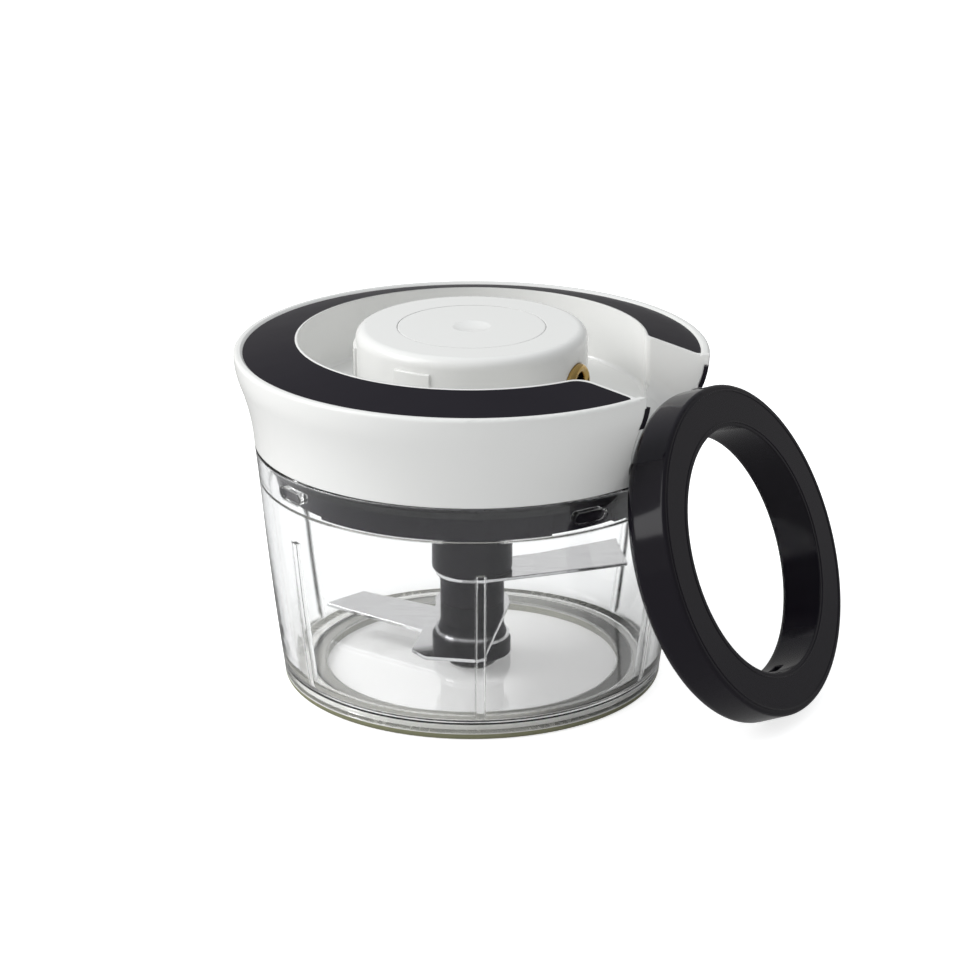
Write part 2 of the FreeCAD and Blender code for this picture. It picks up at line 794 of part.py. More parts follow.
def corner_tool(name, circle_r, outward, half, rounding):
    """Takes off the upright corner between a circle and a straight side at the offset half, on the side
    that half's sign gives. The corner's piece lies outside the circle where outward is 1, and inside it
    where outward is -1."""
    side = math.copysign(1, half.number)
    centre_r = circle_r + outward * rounding
    centre_y = half + side * rounding
    centre_x = root(centre_r * centre_r - centre_y * centre_y)
    corner_x = root(circle_r * circle_r - half * half)
    share = circle_r / centre_r
    on_circle = (centre_x * share, centre_y * share)
    beyond = (circle_r - outward * rounding) / centre_r
    step = root((corner_x - centre_x) * (corner_x - centre_x) + rounding * rounding)
    middle = (centre_x + (corner_x - centre_x) * rounding / step,
              centre_y - side * rounding * rounding / step)
    tool = padded(name, [
        (centre_x, half, *middle),
        (centre_x, half - side * rounding),
        (corner_x - outward * rounding, half - side * rounding),
        (centre_x * beyond, centre_y * beyond),
        on_circle,
    ], TURRET_TOP - s.groove_z)
    return place(tool, z=s.groove_z, turn=s.mouth_turn)


def mouth_corners():
    """Rounds the two upright corners between the ring groove and the mouth, down to the mouth's floor."""
    reach = LID_EDGE_R
    over_floor = padded("over_mouth_floor", [(reach, 0), (reach, reach), (-reach, reach), (-reach, 0)],
                        reach, "YZ_Plane")
    near = corner_tool("mouth_near_corner", GROOVE_R, 1, -s.mouth_half, s.mouth_near_round)
    far = corner_tool("mouth_far_corner", GROOVE_R, 1, s.mouth_half, s.mouth_far_round)
    return shared("mouth_corners", joined("mouth_corner_pair", near, far), lay_on_mouth_floor(over_floor))


def make_lid_shell():
    dome_under = s.dome_out_z - s.lid_wall - s.inlay_thick
    side_in = outer_wall(s.lid_wall)
    brow_in_r = LID_BROW_R - s.lid_wall
    turned = revolved("lid_turned", [
        (0, CAP_FLOOR),
        (CAP_R + s.cap_gap, CAP_FLOOR),
        (CAP_R + s.cap_gap, TURRET_TOP),
        (TURRET_R, TURRET_TOP),
        (TURRET_R, s.groove_z),
        (GROOVE_R, s.groove_z),
    ] + rim_top()[::-1] + [
        (LID_EDGE_R, s.lid_edge_z),
        (LID_SHOULDER_R, s.lid_shoulder_z, LID_BROW_R, s.lid_brow_z),
        (LID_LOW_R, s.lid_low_z, LID_FLARE_R, s.lid_flare_z),
        side_in[0],
        side_in[1],
        (brow_in_r, s.lid_brow_z),
        (GROOVE_BACK_R, dome_under + DOME_SLOPE * (GROOVE_BACK_R - DOME_OUT_R)),
        (GROOVE_BACK_R, GROOVE_UNDER),
        (TURRET_IN_R, GROOVE_UNDER),
        (TURRET_IN_R, SHOULDER_Z),
        (TURRET_IN_R - s.shoulder_width, SHOULDER_Z),
        (TURRET_IN_R - s.shoulder_width, ROOF_UNDER),
        (s.axle_boss_r, ROOF_UNDER),
        (s.axle_boss_r, AXLE_BOSS_Z),
        (0, AXLE_BOSS_Z),
    ])
    soften(turned, s.turret_round, (TURRET_R, TURRET_TOP))
    soften(turned, s.groove_round, (TURRET_R, s.groove_z), (GROOVE_R, s.groove_z))
    soften(turned, s.lip_round, (LID_EDGE_R, s.lip_top_z))
    rim = revolved("rim_solid", [(GROOVE_R, s.lid_low_z)] + outer_wall() + rim_top())
    mouth_block = shared("mouth_block", mouth_prism("mouth_outside", s.mouth_wall), rim)
    plate_posts = screw_circle("plate_post", s.plate_screw_count, PLATE_SCREW_R, s.plate_screw_turn,
                               s.post_r, PLATE_TOP, GROOVE_UNDER + s.screw_free)
    base_posts = screw_circle("base_post", s.base_screw_count, BASE_SCREW_R, s.base_screw_turn,
                              s.post_r, BASE_PLATE_TOP, GROOVE_UNDER + s.screw_free)
    plate_holes = screw_circle("plate_hole", s.plate_screw_count, PLATE_SCREW_R, s.plate_screw_turn,
                               s.screw_r, PLATE_TOP, PLATE_TOP + s.screw_bite)
    base_holes = screw_circle("base_hole", s.base_screw_count, BASE_SCREW_R, s.base_screw_turn,
                              s.screw_r, BASE_PLATE_TOP, BASE_PLATE_TOP + s.screw_bite)
    whole = joined("lid_whole", turned, mouth_block, *plate_posts, *base_posts)
    axle_hole = cylinder("axle_hole", s.axle_r, AXLE_BOSS_Z, AXLE_TOP)
    seat_flat = eyelet_tool("eyelet_flat", s.eyelet_r + s.cap_gap, EYELET_SEAT, TURRET_R + s.eyelet_proud)
    eyelet_hole = eyelet_tool("eyelet_hole", s.eyelet_barrel_r, TURRET_IN_R - s.shoulder_width, TURRET_R)
    shell = less("lid_shell", whole, mouth_prism("mouth_inside", 0), mouth_corners(), make_rim_inlay(),
                 make_mouth_trim(), handle_nest("lid_nest"), axle_hole, seat_flat, eyelet_hole,
                 *plate_holes, *base_holes)
    keep("lid_shell", shell)


def screw_circle(name, count, radius, turn, size, low, high):
    """Equal upright cylinders on a circle that is turned with the mouth."""
    shapes = []
    for number in range(int(count.number)):
        x, y = polar(radius, s.mouth_turn + turn + number * EVEN_SPAN / count)
        shapes.append(cylinder(f"{name}_{number}", size, low, high, x, y))
    return shapes


def eyelet_tool(name, radius, near, far):
    tool = revolved(name, [(near, 0), (far, 0), (far, radius), (near, radius)], "H_Axis")
    return place(tool, z=EYELET_Z, turn=s.mouth_turn)


def make_rim_inlay():
    band = revolved("inlay_band", [
        (DOME_IN_R, s.dome_in_z),
        (DOME_IN_R, s.dome_in_z - s.inlay_thick),
        (DOME_OUT_R, s.dome_out_z - s.inlay_thick),
        (DOME_OUT_R, s.dome_out_z),
    ])
    gap = block("inlay_gap", 0, LID_EDGE_R, INLAY_HALF, s.groove_z, TURRET_TOP, s.mouth_turn)
    corners = [
        corner_tool("inlay_near_in", DOME_IN_R, 1, -INLAY_HALF, s.mouth_near_round - s.inlay_margin),
        corner_tool("inlay_far_in", DOME_IN_R, 1, INLAY_HALF, s.mouth_far_round - s.inlay_margin),
        corner_tool("inlay_near_out", DOME_OUT_R, -1, -INLAY_HALF, s.inlay_corner),
        corner_tool("inlay_far_out", DOME_OUT_R, -1, INLAY_HALF, s.inlay_corner),
    ]
    return keep("rim_inlay", less("rim_inlay", band, gap, *corners))


def make_mouth_trim():
    """Two upright strips in the sides of the mouth, at the lid's outer wall."""
    inset = s.trim_thick
    skin = revolved("trim_skin", outer_wall() + [
        (LID_EDGE_R - inset, s.lid_edge_z),
        (LID_SHOULDER_R - inset, s.lid_shoulder_z, LID_BROW_R - inset, s.lid_brow_z),
        (LID_LOW_R - inset, s.lid_low_z, LID_FLARE_R - inset, s.lid_flare_z),
    ])
    zone = block("trim_zone", GROOVE_R, 2 * GROOVE_R, GROOVE_R,
                 s.trim_low_z, s.trim_top_z, s.mouth_turn)
    band = shared("trim_band", mouth_prism("trim_outside", s.trim_sunk), skin, zone)
    opening = mouth_prism("trim_inside", s.trim_sunk - s.trim_width)
    return keep("mouth_trim", less("mouth_trim", band, opening, handle_nest("trim_nest")))


def make_turret_cap():
    disc = revolved("cap_disc", [
        (0, CAP_FLOOR),
        (CAP_R, CAP_FLOOR),
        (CAP_R, TURRET_TOP),
        (0, TURRET_TOP),
    ])
    soften(disc, s.cap_gap, (CAP_R, TURRET_TOP))
    ball = doc.addObject("Part::Sphere", "cap_dimple")
    bind(ball, "Radius", s.cap_dimple_r)
    place(ball, z=TURRET_TOP + s.cap_dimple_r - s.cap_dimple_depth)
    keep("turret_cap", less("turret_cap", disc, ball))


def make_cord_eyelet():
    middle_r = (s.eyelet_r + s.eyelet_hole_r) / 2
    seat = EYELET_SEAT
    ring = revolved("cord_eyelet", [
        (TURRET_IN_R, s.eyelet_hole_r),
        (seat + s.eyelet_proud / 2, s.eyelet_hole_r),
        (seat + s.eyelet_proud / 2, s.eyelet_r, seat + s.eyelet_proud, middle_r),
        (seat, s.eyelet_r),
        (seat, s.eyelet_barrel_r),
        (TURRET_IN_R, s.eyelet_barrel_r),
    ], "H_Axis")
    keep("cord_eyelet", place(ring, z=EYELET_Z, turn=s.mouth_turn))


def make_lid_base():
    seal_low = s.seal_z - s.seal_height / 2
    seal_top = s.seal_z + s.seal_height / 2
    hole_r = s.bearing_r + s.screw_free
    turned = revolved("base_turned", [
        (hole_r, s.base_plate_z),
        (SKIRT_IN_R, s.base_plate_z),
        (SKIRT_IN_R, s.skirt_low_z),
        (SKIRT_LOW_R, s.skirt_low_z),
        (SKIRT_TOP_R, seal_low),
        (SKIRT_TOP_R - s.seal_depth, seal_low),
        (SKIRT_TOP_R - s.seal_depth, seal_top),
        (SKIRT_TOP_R, seal_top),
        (SKIRT_TOP_R, s.base_plate_z),
        (BASE_PLATE_R, s.base_plate_z),
        (BASE_PLATE_R, BASE_PLATE_TOP),
        (hole_r, BASE_PLATE_TOP),
    ])
    recess_r = SKIRT_LOW_R - s.recess_depth
    recesses = []
    for number in range(int(s.lug_count.number)):
        recess = revolved(f"recess_{number}", [
            (recess_r, s.skirt_low_z - s.recess_depth),
            (s.bowl_rim_r, s.skirt_low_z - s.recess_depth),
            (s.bowl_rim_r, s.recess_top_z),
            (recess_r, s.recess_top_z),
        ], span=s.recess_span)
        turn = s.lug_turn + number * EVEN_SPAN / s.lug_count - s.recess_span / 2
        recesses.append(place(recess, turn=turn))
    holes = screw_circle("base_free_hole", s.base_screw_count, BASE_SCREW_R, s.base_screw_turn,
                         s.screw_r + s.screw_free, s.base_plate_z, BASE_PLATE_TOP)
    keep("lid_base", less("lid_base", turned, *recesses, *holes))
    ring = revolved("seal_ring", [
        (SKIRT_TOP_R - s.seal_depth, seal_low),
        (COLLAR_NECK_R - s.seal_bowl_gap, seal_low),
        (COLLAR_NECK_R - s.seal_bowl_gap, seal_top),
        (SKIRT_TOP_R - s.seal_depth, seal_top),
    ])
    keep("seal_ring", ring)


def make_mechanism_plate():
    disc = revolved("plate_disc", [
        (s.bush_r, s.bearing_low_z),
        (s.bearing_r, s.bearing_low_z),
        (s.bearing_r, s.plate_z),
        (PLATE_R, s.plate_z),
        (PLATE_R, PLATE_TOP),
        (s.bush_r, PLATE_TOP),
    ])
    holes = screw_circle("plate_free_hole", s.plate_screw_count, PLATE_SCREW_R, s.plate_screw_turn,
                         s.screw_r + s.screw_free, s.plate_z, PLATE_TOP)
    keep("mechanism_plate", less("mechanism_plate", disc, *holes))
    bush = revolved("coupler_bush", [
        (s.coupler_r, s.bearing_low_z),
        (s.bush_r, s.bearing_low_z),
        (s.bush_r, PLATE_TOP),
        (s.bush_flange_r, PLATE_TOP),
        (s.bush_flange_r, PLATE_TOP + s.bush_flange),
        (s.coupler_r, PLATE_TOP + s.bush_flange),
    ])
    keep("coupler_bush", bush)


def make_screws(name, count, radius, turn, seat, reach):
    screws = []
    for number in range(int(count.number)):
        screw = revolved(f"{name}_{number}", [
            (0, -s.screw_head),
            (s.screw_head_r, -s.screw_head),
            (s.screw_head_r, 0),
            (s.screw_r, 0),
            (s.screw_r, reach),
            (0, reach),
        ])
        x, y = polar(radius, s.mouth_turn + turn + number * EVEN_SPAN / count)
        screws.append(place(screw, x, y, seat))
    keep(name, group(name, *screws))


def make_axle_and_spring():
    axle = cylinder("spool_axle", s.axle_r, s.axle_low_z, AXLE_TOP)
    keep("spool_axle", axle)
    cover = revolved("spring_cover", [
        (s.arbor_r + s.screw_free, COVER_Z),
        (TURRET_IN_R - s.cover_gap, COVER_Z),
        (TURRET_IN_R - s.cover_gap, SHOULDER_Z),
        (s.arbor_r + s.screw_free, SHOULDER_Z),
    ])
    keep("spring_cover", cover)
    keep("recoil_spring", wound_strip())


def wound_strip():
    """A flat spring wound in half turns, from the arbor out to the turret's wall."""
    inner = (s.arbor_r + s.spring_gap).number
    outer = (TURRET_IN_R - s.shoulder_width - s.spring_strip).number
    halves = 2 * int(s.spring_turns.number)
    pitch = (outer - inner) / halves
    low = (SHOULDER_Z + s.cover_gap).number
    upward = FreeCAD.Vector(0, 0, 1)

    def spiral(offset):
        arcs = []
        for half in range(halves):
            side = half % 2
            circle = Part.Circle(FreeCAD.Vector(side * pitch, 0, low), upward, inner + pitch * half + offset)
            arcs.append(circle.toShape(math.pi * side, math.pi * (side + 1)))
        return arcs

    inside = spiral(0)
    outside = spiral(s.spring_strip.number)
    first = Part.makeLine(inside[0].Vertexes[0].Point, outside[0].Vertexes[0].Point)
    last = Part.makeLine(inside[-1].Vertexes[-1].Point, outside[-1].Vertexes[-1].Point)
    face = Part.Face(Part.Wire(Part.__sortEdges__([first] + inside + [last] + outside)))
    strip = doc.addObject("Part::Feature", "recoil_spring")
    strip.Shape = face.extrude(FreeCAD.Vector(0, 0, s.spring_height.number))
    strip.Placement = FreeCAD.Placement()
    return strip


def make_spool():
    turned = revolved("spool_turned", [
        (AXLE_BORE_R, SPOOL_LOW),
        (s.arbor_r, SPOOL_LOW),
        (s.arbor_r, FLANGE_LOW),
        (FLANGE_R, FLANGE_LOW),
        (FLANGE_R, DRUM_LOW),
        (s.drum_r, DRUM_LOW),
        (s.drum_r, DRUM_TOP),
        (FLANGE_R, DRUM_TOP),
        (FLANGE_R, FLANGE_TOP),
        (s.arbor_r, FLANGE_TOP),
        (s.arbor_r, ARBOR_TOP),
        (s.arbor_bore_r, ARBOR_TOP),
        (s.arbor_bore_r, ARBOR_BORE_Z),
        (AXLE_BORE_R, ARBOR_BORE_Z),
    ])
    posts = []
    for number in range(len(PAWL_NAMES)):
        x, y = polar(PAWL_POST_AT, as_size(number * EVEN_SPAN / len(PAWL_NAMES)))
        posts.append(cylinder(f"pawl_post_{number}", s.pawl_post_r, PAWL_LOW,
                              FLANGE_LOW + s.flange_thick / 2, x, y))
    cord_hole = cylinder("cord_hole", s.cord_hole_r, FLANGE_LOW, DRUM_LOW, s.drum_r + 2 * s.cord_hole_r)
    keep("cord_spool", less("cord_spool", joined("spool_whole", turned, *posts), cord_hole))


def make_pawls():
    tip_back = s.pawl_tip_turn - s.pawl_tip_span
    tip_x, tip_y = polar(PAWL_TIP_R, s.pawl_tip_turn)
    back_x, back_y = polar(PAWL_TIP_R, tip_back)
    inner_x, inner_y = polar(PAWL_TIP_R - s.pawl_tip_depth, s.pawl_tip_turn)
    for number, label in enumerate(PAWL_NAMES):
        name = f"ratchet_pawl_{label}"
        arm = padded(name + "_arm", [
            (PAWL_POST_AT - s.pawl_post_r, -s.pawl_post_r),
            (PAWL_POST_AT + s.pawl_post_r, -s.pawl_post_r),
            (back_x, back_y),
            (tip_x, tip_y),
            (inner_x, inner_y),
        ], PAWL_THICK)
        place(arm, z=PAWL_LOW)
        eye = cylinder(name + "_eye", s.pawl_eye_r, PAWL_LOW, PAWL_LOW + PAWL_THICK, PAWL_POST_AT)
        hole = cylinder(name + "_hole", s.pawl_post_r + s.pawl_running_gap, PAWL_LOW - s.pawl_gap,
                        PAWL_LOW + PAWL_THICK + s.pawl_gap, PAWL_POST_AT)
        pawl = less(name, joined(name + "_whole", arm, eye), hole)
        keep(name, place(pawl, turn=as_size(number * EVEN_SPAN / len(PAWL_NAMES))))


def make_drive_coupler():
    turned = revolved("coupler_turned", [
        (0, s.coupler_low_z),
        (s.coupler_r - s.bush_running_gap, s.coupler_low_z),
        (s.coupler_r - s.bush_running_gap, CUP_Z),
        (CUP_R, CUP_Z),
        (CUP_R, CUP_TOP),
        (RATCHET_IN_R - s.pawl_gap, CUP_TOP),
        (RATCHET_IN_R - s.pawl_gap, CUP_FLOOR_TOP),
        (0, CUP_FLOOR_TOP),
    ])
    saw = []
    for tooth in range(int(s.ratchet_teeth.number)):
        face = s.ratchet_turn + tooth * EVEN_SPAN / s.ratchet_teeth
        saw.append(polar(RATCHET_OUT_R, face))
        saw.append(polar(RATCHET_IN_R, face))
    teeth = place(padded("ratchet_teeth_cut", saw, CUP_TOP - CUP_FLOOR_TOP), z=CUP_FLOOR_TOP)
    spigot = hexagon("spigot", s.spigot_r, s.spigot_low_z, s.coupler_low_z)
    bore = cylinder("coupler_bore", AXLE_BORE_R, s.axle_low_z - s.socket_gap, CUP_FLOOR_TOP)
    keep("drive_coupler", less("drive_coupler", joined("coupler_whole", turned, spigot), teeth, bore))


def place_handle(thing):
    x, y = polar(HANDLE_REACH, s.handle_azimuth)
    return place(thing, x, y, HANDLE_Z, s.handle_turn, -s.handle_lean)


def handle_nest(name):
    """The room that the leaning ring needs in the lid: a disc over its back, grown by the nest's gap."""
    front = HANDLE_HALF + s.handle_nest_gap
    outer_r = s.handle_back_r + s.handle_nest_gap
    room = revolved(name, [
        (-front, 0),
        (front, 0),
        (front, s.handle_front_r + s.handle_nest_gap),
        (-front, outer_r),
    ], "H_Axis")
    return place_handle(soften(room, s.handle_round + s.handle_nest_gap, (outer_r, -front)))


def make_handle():
    front = HANDLE_HALF
    back = -front
    cover_back = front - s.handle_cover_thick
    ring = revolved("handle_turned", [
        (back, s.hole_back_r),
        (back, s.handle_back_r),
        (front, s.handle_front_r),
        (front, LIP_OUT_R),
        (cover_back, LIP_OUT_R),
        (cover_back, LIP_OUT_R - s.cover_ledge),
        (back + s.handle_wall, LIP_OUT_R - s.cover_ledge),
        (back + s.handle_wall, s.hole_front_r + s.handle_wall),
        (cover_back, s.hole_front_r + s.handle_wall),
        (cover_back, LIP_IN_R),
        (front, LIP_IN_R),
        (front, s.hole_front_r),
    ], "H_Axis")
    soften(ring, s.handle_round, (s.handle_back_r, back))
    soften(ring, s.hole_round, (s.hole_back_r, back))
    soften(ring, s.handle_front_round, (s.handle_front_r, front))
    slot = doc.addObject("Part::Box", "cord_slot")
    bind(slot, "Length", s.cord_slot_height)
    bind(slot, "Width", s.cord_slot_width)
    bind(slot, "Height", 2 * s.handle_wall + s.cord_slot_height)
    place(slot, -s.cord_slot_height / 2, -s.cord_slot_width / 2, -s.hole_front_r - 2 * s.handle_wall)
    keep("handle_body", place_handle(less("handle_body", ring, slot)))
    cover = revolved("handle_cover_turned", [
        (cover_back, LIP_IN_R + s.handle_cover_gap),
        (front, LIP_IN_R + s.handle_cover_gap),
        (front, LIP_OUT_R - s.handle_cover_gap),
        (cover_back, LIP_OUT_R - s.handle_cover_gap),
    ], "H_Axis")
    keep("handle_cover", place_handle(cover))


def check_and_write():
    doc.recompute()
    for thing in doc.Objects:
        for trouble in ("Invalid", "Error"):
            if trouble in thing.State:
                raise RuntimeError(f"{thing.Label}: {thing.State}")
    for thing in parts:
        if thing.Shape.isNull() or not thing.Shape.isValid() or not thing.Shape.Solids:
            raise RuntimeError(f"{thing.Label} has no valid solid")
    os.makedirs("parts", exist_ok=True)
    for thing in parts:
        thing.Shape.exportStep(f"parts/{thing.Label}.step")
        print(f"{thing.Label}: {len(thing.Shape.Solids)} solid(s), {thing.Shape.Volume:.1f} mm3")


make_base_ring()
make_bowl()
make_centre_pin()
make_column()
make_blades()
make_lid_shell()
make_turret_cap()
make_cord_eyelet()
make_lid_base()
make_mechanism_plate()
make_screws("mechanism_screws", s.plate_screw_count, PLATE_SCREW_R, s.plate_screw_turn,
            s.plate_z, s.plate_thick + s.screw_bite)
make_screws("base_screws", s.base_screw_count, BASE_SCREW_R, s.base_screw_turn,
            s.base_plate_z, s.base_plate_thick + s.screw_bite)
make_axle_and_spring()
make_spool()
make_pawls()
make_drive_coupler()
make_handle()
check_and_write()
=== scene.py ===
import json
import math

import bmesh
import bpy
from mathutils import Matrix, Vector


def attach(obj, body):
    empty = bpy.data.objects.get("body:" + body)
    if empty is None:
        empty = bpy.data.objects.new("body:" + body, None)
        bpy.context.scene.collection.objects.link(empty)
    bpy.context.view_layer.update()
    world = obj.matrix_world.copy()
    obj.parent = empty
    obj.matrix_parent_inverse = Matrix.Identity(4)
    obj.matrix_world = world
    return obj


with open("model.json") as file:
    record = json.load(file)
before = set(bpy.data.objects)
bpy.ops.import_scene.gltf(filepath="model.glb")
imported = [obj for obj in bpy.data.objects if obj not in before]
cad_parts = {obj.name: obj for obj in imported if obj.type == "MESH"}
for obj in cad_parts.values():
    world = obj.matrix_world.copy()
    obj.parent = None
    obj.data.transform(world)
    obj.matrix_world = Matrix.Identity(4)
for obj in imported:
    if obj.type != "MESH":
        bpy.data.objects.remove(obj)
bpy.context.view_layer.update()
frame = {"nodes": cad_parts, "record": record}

MM = 0.001
WHITE = (1, 1, 1, 1)

# The photograph's view, in metres and degrees, with the lens and sensor in millimetres
CAMERA_PLACE = (0.006103, -1.036219, 0.433183)
CAMERA_TILT = 70.393
CAMERA_LENS = 119.38
CAMERA_SENSOR = 36.0
CAMERA_NEAR = 0.1
CAMERA_FAR = 20.0

# Half the floor's width, in metres
FLOOR_HALF = 6.0
FLOOR_ROUGHNESS = 0.8

# The studio: what the floor and the room give, as shares of white
FLOOR_COLOUR = 0.84
FLOOR_GLOW = 0.75
FLOOR_GLOW_BEHIND_GLASS = 0.3
FLOOR_SHEEN = 0.28
ROOM_LEVEL = 0.75
ROOM_SHEEN = 0.4
ROOM_LOW_COLOUR = (1.0, 0.995, 0.98)
ROOM_HIGH_COLOUR = (0.94, 0.975, 1.0)

# The room dims to ROOM_FRONT away from its bright side, between these two measures along that direction
ROOM_BRIGHT_SIDE = (-0.65, 0.75, 0.1)
ROOM_FRONT = 0.62
ROOM_DIM_BELOW = -0.9
ROOM_BRIGHT_ABOVE = 0.3

# The lamps, in metres and watts
LAMPS = {
    "key": {
        "place": (-1.35, -0.3, 1.25),
        "target": (0, 0, 0.06),
        "size": (1.0, 1.5),
        "power": 13.5,
    },
    "spark": {
        "place": (-1.22, 0.1, 1.03),
        "target": (0.056, -0.065, 0.088),
        "size": (0.35, 0.35),
        "power": 5.5,
    },
}

# Noise patterns of the materials: scale, detail and roughness
COLOUR_DRIFT = (18.0, 3.0, 0.5)
UNEVEN_GLOSS = (60.0, 4.0, 0.6)
FINE_GRAIN = (900.0, 2.0, 0.5)
CLEAR_GLOSS = (40.0, 3.0, 0.5)
METAL_DETAIL = 3.0

# The first of two colours holds up to RAMP_START of the value that mixes them, the second from RAMP_END
RAMP_START = 0.35
RAMP_END = 0.65

GRAIN_DEPTH = 0.01 * MM
EDGE_SAMPLES = 6
MOULDED_IOR = 1.5
MOULDED_SHINE = 0.5
MOULDED_GRAIN = 0.3
MOULDED_EDGE = 0.3 * MM
METAL_SCALE = 300.0
METAL_GRAIN = 0.2
METAL_DARKER = 0.93

# The clear plastic of the bowl, and what its wall lets through of a lamp's light
CLEAR_IOR = 1.42
CLEAR_COLOUR = (0.985, 0.987, 0.985, 1)
CLEAR_SHADOW = (0.93, 0.93, 0.93, 1)
CLEAR_ROUGHEST = 0.02
CLEAR_EDGE = 1.0 * MM

# The base ring turns at this height over the floor, within these distances from it, from olive (partly
# its own colour, partly painted contact shade) to pale, a painted light on its top face
FOOT_PAINTED_LIGHT_FROM = 2.5 * MM
FOOT_BLEND_BELOW = 0.4 * MM
FOOT_BLEND_ABOVE = 0.1 * MM
FOOT_SHINE = 0.2

nodes = frame["nodes"]


# Materials

def new_material(name):
    material = bpy.data.materials.new(name)
    material.use_nodes = True
    shader = material.node_tree.nodes["Principled BSDF"]
    return material, material.node_tree, shader


def set_inputs(node, **values):
    for name, value in values.items():
        node.inputs[name.replace("_", " ")].default_value = value


def add_node(tree, kind, **settings):
    node = tree.nodes.new(kind)
    for name, value in settings.items():
        if name in node.inputs:
            node.inputs[name].default_value = value
        else:
            setattr(node, name, value)
    return node


def object_noise(tree, scale, detail, roughness):
    place = tree.nodes.new("ShaderNodeTexCoord")
    noise = add_node(tree, "ShaderNodeTexNoise", Scale=scale, Detail=detail, Roughness=roughness)
    tree.links.new(place.outputs["Object"], noise.inputs["Vector"])
    return noise.outputs["Fac"]


def height_in(tree, space):
    """The Z coordinate in the texture space of this name."""
    place = tree.nodes.new("ShaderNodeTexCoord")
    parts = tree.nodes.new("ShaderNodeSeparateXYZ")
    tree.links.new(place.outputs[space], parts.inputs[0])
    return parts.outputs["Z"]


def spread(tree, value, low, high, start=0.0, end=1.0, easing="LINEAR"):
    """Maps start to end onto low to high."""
    ranged = add_node(tree, "ShaderNodeMapRange", interpolation_type=easing)
    set_inputs(ranged, From_Min=start, From_Max=end, To_Min=low, To_Max=high)
    tree.links.new(value, ranged.inputs["Value"])
    return ranged.outputs["Result"]


def two_colours(tree, value, first, second):
    ramp = tree.nodes.new("ShaderNodeValToRGB")
    ramp.color_ramp.elements[0].color = (*first, 1)
    ramp.color_ramp.elements[1].color = (*second, 1)
    ramp.color_ramp.elements[0].position = RAMP_START
    ramp.color_ramp.elements[1].position = RAMP_END
    tree.links.new(value, ramp.inputs["Fac"])
    return ramp.outputs["Color"]


def calculate(tree, operation, first, second, clamped=False):
    node = add_node(tree, "ShaderNodeMath", operation=operation, use_clamp=clamped)
    tree.links.new(first, node.inputs[0])
    tree.links.new(second, node.inputs[1])
    return node.outputs[0]


def any_ray(tree, *kinds):
    """1 for rays of these kinds, 0 for the others."""
    path = tree.nodes.new("ShaderNodeLightPath")
    value = path.outputs[kinds[0]]
    for kind in kinds[1:]:
        value = calculate(tree, "MAXIMUM", value, path.outputs[kind])
    return value


def choose_shader(tree, share, first, second, output):
    """Gives the output the first shader where share is 0 and the second where it is 1."""
    mix = tree.nodes.new("ShaderNodeMixShader")
    tree.links.new(share, mix.inputs[0])
    tree.links.new(first.outputs[0], mix.inputs[1])
    tree.links.new(second.outputs[0], mix.inputs[2])
    tree.links.new(mix.outputs[0], tree.nodes[output].inputs["Surface"])


def add_bump(tree, shader, height, strength, edge):
    """A fine relief, on edges that are softened by the radius edge."""
    bump = add_node(tree, "ShaderNodeBump", Strength=strength, Distance=GRAIN_DEPTH)
    tree.links.new(height, bump.inputs["Height"])
    tree.links.new(bump.outputs["Normal"], shader.inputs["Normal"])
    if edge:
        soft = add_node(tree, "ShaderNodeBevel", Radius=edge, samples=EDGE_SAMPLES)
        tree.links.new(soft.outputs["Normal"], bump.inputs["Normal"])


def moulded_surface(name, low, high, shine=MOULDED_SHINE, grain=MOULDED_GRAIN, edge=MOULDED_EDGE):
    """A moulded piece's uneven gloss, fine grain and soft edges, without its colour."""
    material, tree, shader = new_material(name)
    set_inputs(shader, IOR=MOULDED_IOR, Specular_IOR_Level=shine)
    tree.links.new(spread(tree, object_noise(tree, *UNEVEN_GLOSS), low, high), shader.inputs["Roughness"])
    add_bump(tree, shader, object_noise(tree, *FINE_GRAIN), grain, edge)
    return material, tree, shader


def moulded_plastic(name, colour, second, low, high, **surface):
    """Moulded plastic or rubber whose colour drifts faintly from one to the second."""
    material, tree, shader = moulded_surface(name, low, high, **surface)
    drift = object_noise(tree, *COLOUR_DRIFT)
    tree.links.new(two_colours(tree, drift, colour, second), shader.inputs["Base Color"])
    return material


def foot_rubber(name, olive_and_painted_shade, painted_light_colour, low, high):
    """Matt rubber: olive at its foot, partly its own colour and partly painted contact shade, and pale
    above, which is painted light on its top face.
    """
    material, tree, shader = moulded_surface(name, low, high, shine=FOOT_SHINE)
    start = FOOT_PAINTED_LIGHT_FROM - FOOT_BLEND_BELOW
    end = FOOT_PAINTED_LIGHT_FROM + FOOT_BLEND_ABOVE
    # Painted light and shade by height: painted contact shade at the foot, painted light on the top face
    share = spread(tree, height_in(tree, "Object"), 0.0, 1.0, start, end)
    tree.links.new(two_colours(tree, share, olive_and_painted_shade, painted_light_colour), shader.inputs["Base Color"])
    return material


def clear_plastic(name):
    """Clear plastic that lets the lamps' light through to what it holds."""
    material, tree, shader = new_material(name)
    set_inputs(shader, Base_Color=CLEAR_COLOUR, Transmission_Weight=1.0, IOR=CLEAR_IOR)
    gloss = object_noise(tree, *CLEAR_GLOSS)
    tree.links.new(spread(tree, gloss, 0.0, CLEAR_ROUGHEST), shader.inputs["Roughness"])
    soft = add_node(tree, "ShaderNodeBevel", Radius=CLEAR_EDGE)
    tree.links.new(soft.outputs["Normal"], shader.inputs["Normal"])
    clear = add_node(tree, "ShaderNodeBsdfTransparent", Color=CLEAR_SHADOW)
    choose_shader(tree, any_ray(tree, "Is Shadow Ray"), shader, clear, "Material Output")
    return material


